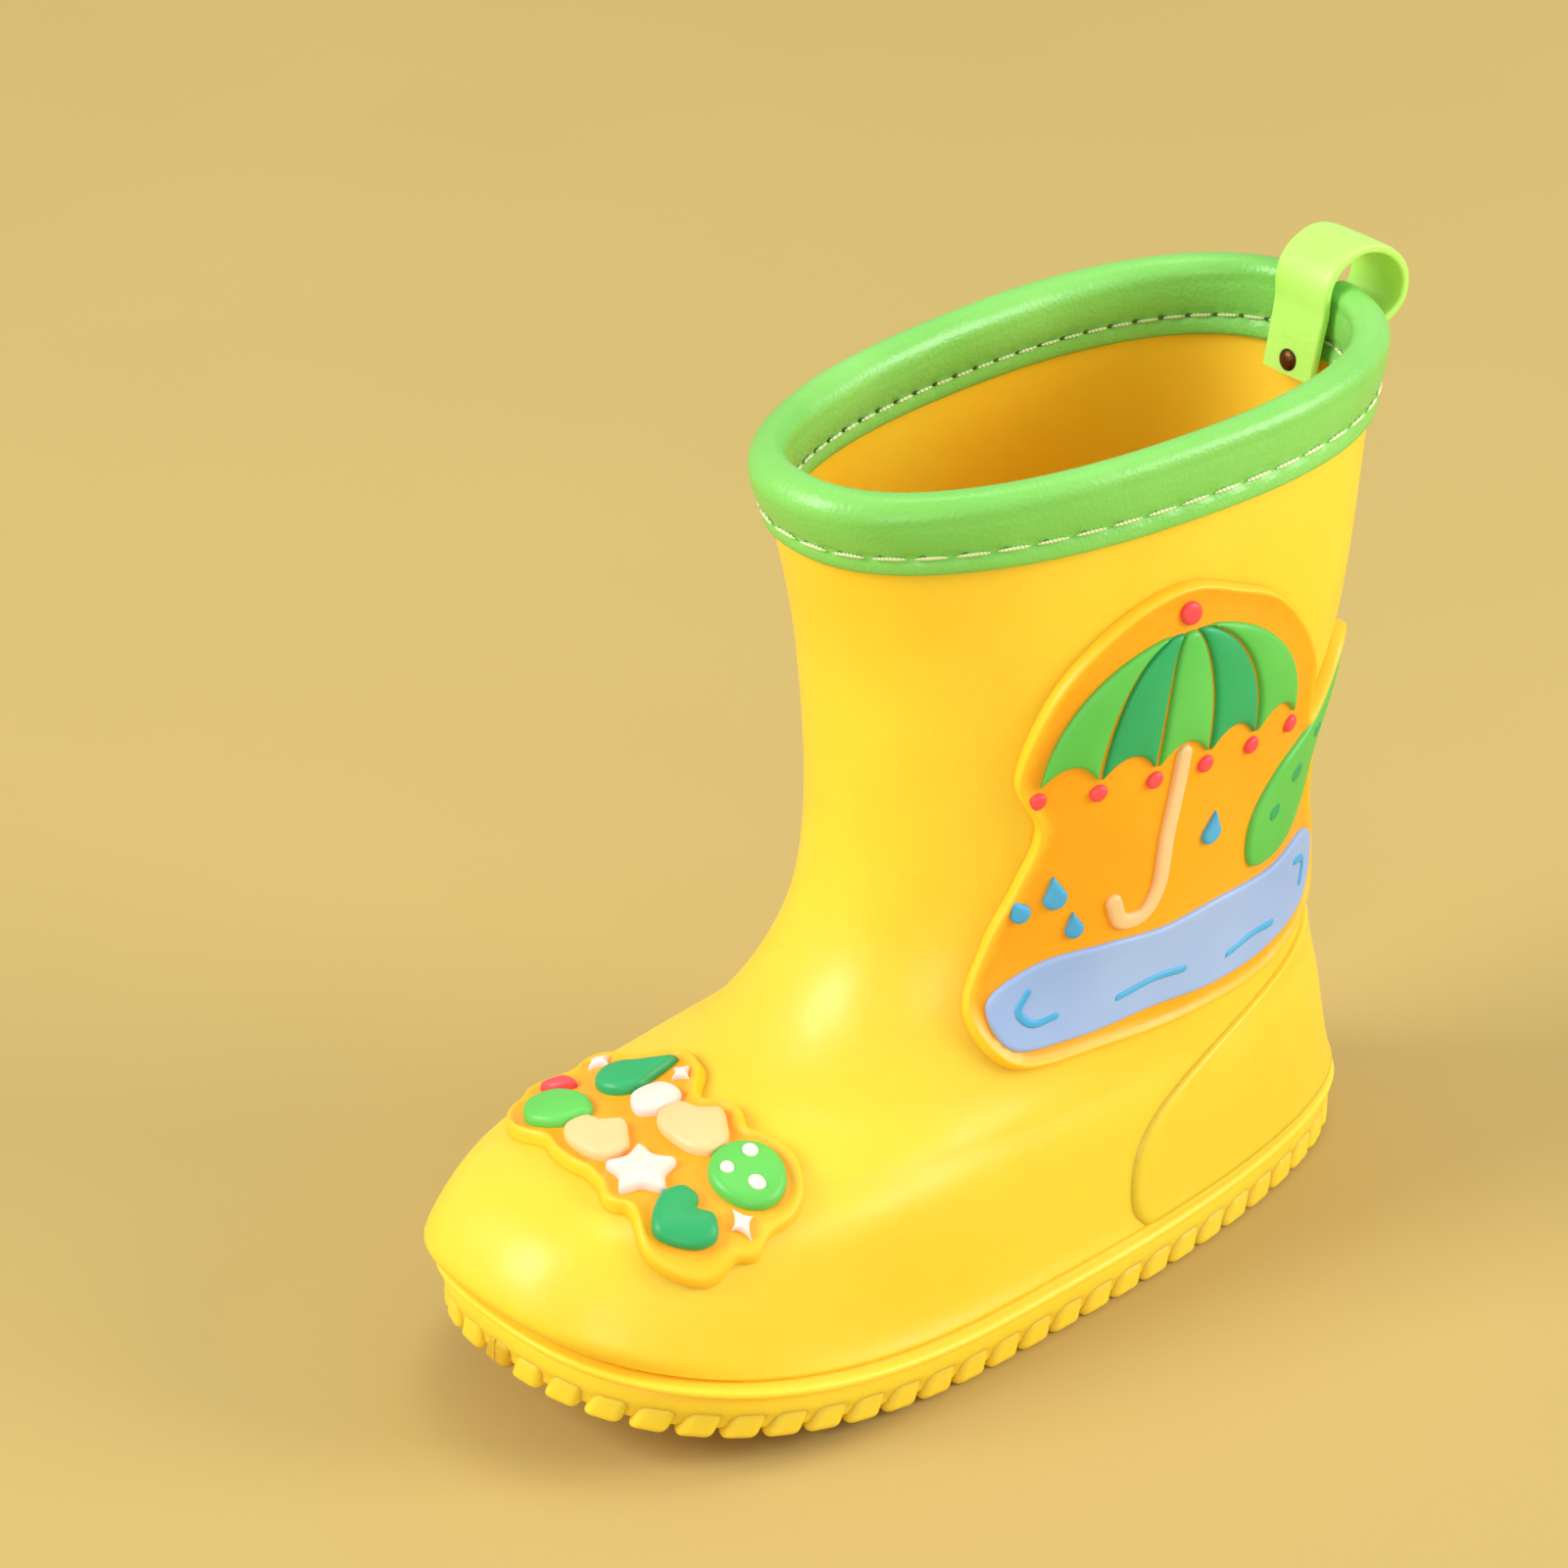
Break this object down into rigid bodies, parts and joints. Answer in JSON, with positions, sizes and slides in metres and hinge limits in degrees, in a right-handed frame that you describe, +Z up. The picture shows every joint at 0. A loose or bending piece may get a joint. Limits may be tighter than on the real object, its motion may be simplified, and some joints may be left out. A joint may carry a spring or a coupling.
{
  "type": "rubber rain boot",
  "caption": "Child's pull-on rubber rain boot with a lugged sole, padded stitched collar, riveted rear pull loop and soft rubber weather badges",
  "frame": {"origin": "on the ground plane, on the flat tread lug under the middle of the foot, midway between the boot's sides", "axes": "+Z up, toe towards -Y, heel towards +Y, outer (lateral) side of this left boot towards +X"},
  "size_m": [0.0814, 0.1929, 0.1617],
  "materials": {
    "yellow_rubber": "satin-gloss soft moulded rubber, faintly translucent, with a very fine skin texture",
    "sole_rubber": "satin moulded rubber, slightly deeper than the shell, scuffed on the tread",
    "binding_tape": "fine-grained coated leatherette tape over a padded roll, soft satin highlights",
    "strap_tape": "smooth coated leatherette strap with a cut edge",
    "seam_thread": "twisted polyester sewing thread in a lockstitch",
    "rivet_metal": "antique dark brass, worn on the crown",
    "insole_foam": "closed-cell foam with a matte skin",
    "insole_fabric": "short-pile knitted lining cloth",
    "tag_fabric": "woven satin tape, blank",
    "badge_amber": "soft poured rubber, satin, with a raised lighter rim",
    "badge_green": "soft poured rubber, satin",
    "badge_dark_green": "soft poured rubber, satin",
    "badge_peach": "soft poured rubber, satin",
    "badge_coral": "soft poured rubber, satin",
    "badge_puddle": "soft poured rubber, satin",
    "badge_water": "soft poured rubber, satin",
    "badge_white": "soft poured rubber, satin"
  },
  "bodies": {
    "root": {"bobbin_thread": "seam_thread", "collar_binding": "binding_tape", "heel_counter": "yellow_rubber", "insole_cover": "insole_fabric", "insole_foam": "insole_foam", "leaf_blade": "badge_green", "leaf_spot_1": "badge_dark_green", "leaf_spot_2": "badge_dark_green", "leaf_spot_3": "badge_dark_green", "loop_rivet": "rivet_metal", "loop_rivet_washer": "rivet_metal", "needle_thread": "seam_thread", "outsole": "sole_rubber", "puddle": "badge_puddle", "puddle_ripple_1": "badge_water", "puddle_ripple_2": "badge_water", "puddle_ripple_3": "badge_water", "puddle_ripple_4": "badge_water", "pull_loop_inner_leg": "strap_tape", "pull_loop_outer_leg": "strap_tape", "rain_drop_1": "badge_water", "rain_drop_2": "badge_water", "rain_drop_3": "badge_water", "rain_drop_4": "badge_water", "side_badge_base": "badge_amber", "size_tag": "tag_fabric", "toe_badge_base": "badge_amber", "toe_ball_spot_1": "badge_white", "toe_ball_spot_2": "badge_white", "toe_ball_spot_3": "badge_white", "toe_icon_ball": "badge_green", "toe_icon_cloud_lower": "badge_peach", "toe_icon_cloud_upper": "badge_peach", "toe_icon_flower": "badge_white", "toe_icon_heart": "badge_dark_green", "toe_icon_leaf": "badge_green", "toe_icon_pebble": "badge_white", "toe_icon_raindrop": "badge_dark_green", "toe_leaf_crest": "badge_coral", "toe_sparkle_1": "badge_white", "toe_sparkle_2": "badge_white", "toe_sparkle_3": "badge_white", "umbrella_finial": "badge_coral", "umbrella_panel_1": "badge_green", "umbrella_panel_2": "badge_dark_green", "umbrella_panel_3": "badge_green", "umbrella_panel_4": "badge_dark_green", "umbrella_panel_5": "badge_green", "umbrella_pole": "badge_peach", "umbrella_rib_tip_1": "badge_coral", "umbrella_rib_tip_2": "badge_coral", "umbrella_rib_tip_3": "badge_coral", "umbrella_rib_tip_4": "badge_coral", "umbrella_rib_tip_5": "badge_coral", "umbrella_rib_tip_6": "badge_coral", "upper_shell": "yellow_rubber"},
    "pull_loop": {"pull_loop_arch": "strap_tape"}
  },
  "joints": [
    {"name": "loop_sway", "type": "hinge", "parent": "root", "child": "pull_loop", "pos_m": [0, 0.0912, 0.1528], "axis": [1, 0, 0], "range_deg": [-10, 10], "stiffness_Nm_per_rad": 0.002}
  ]
}
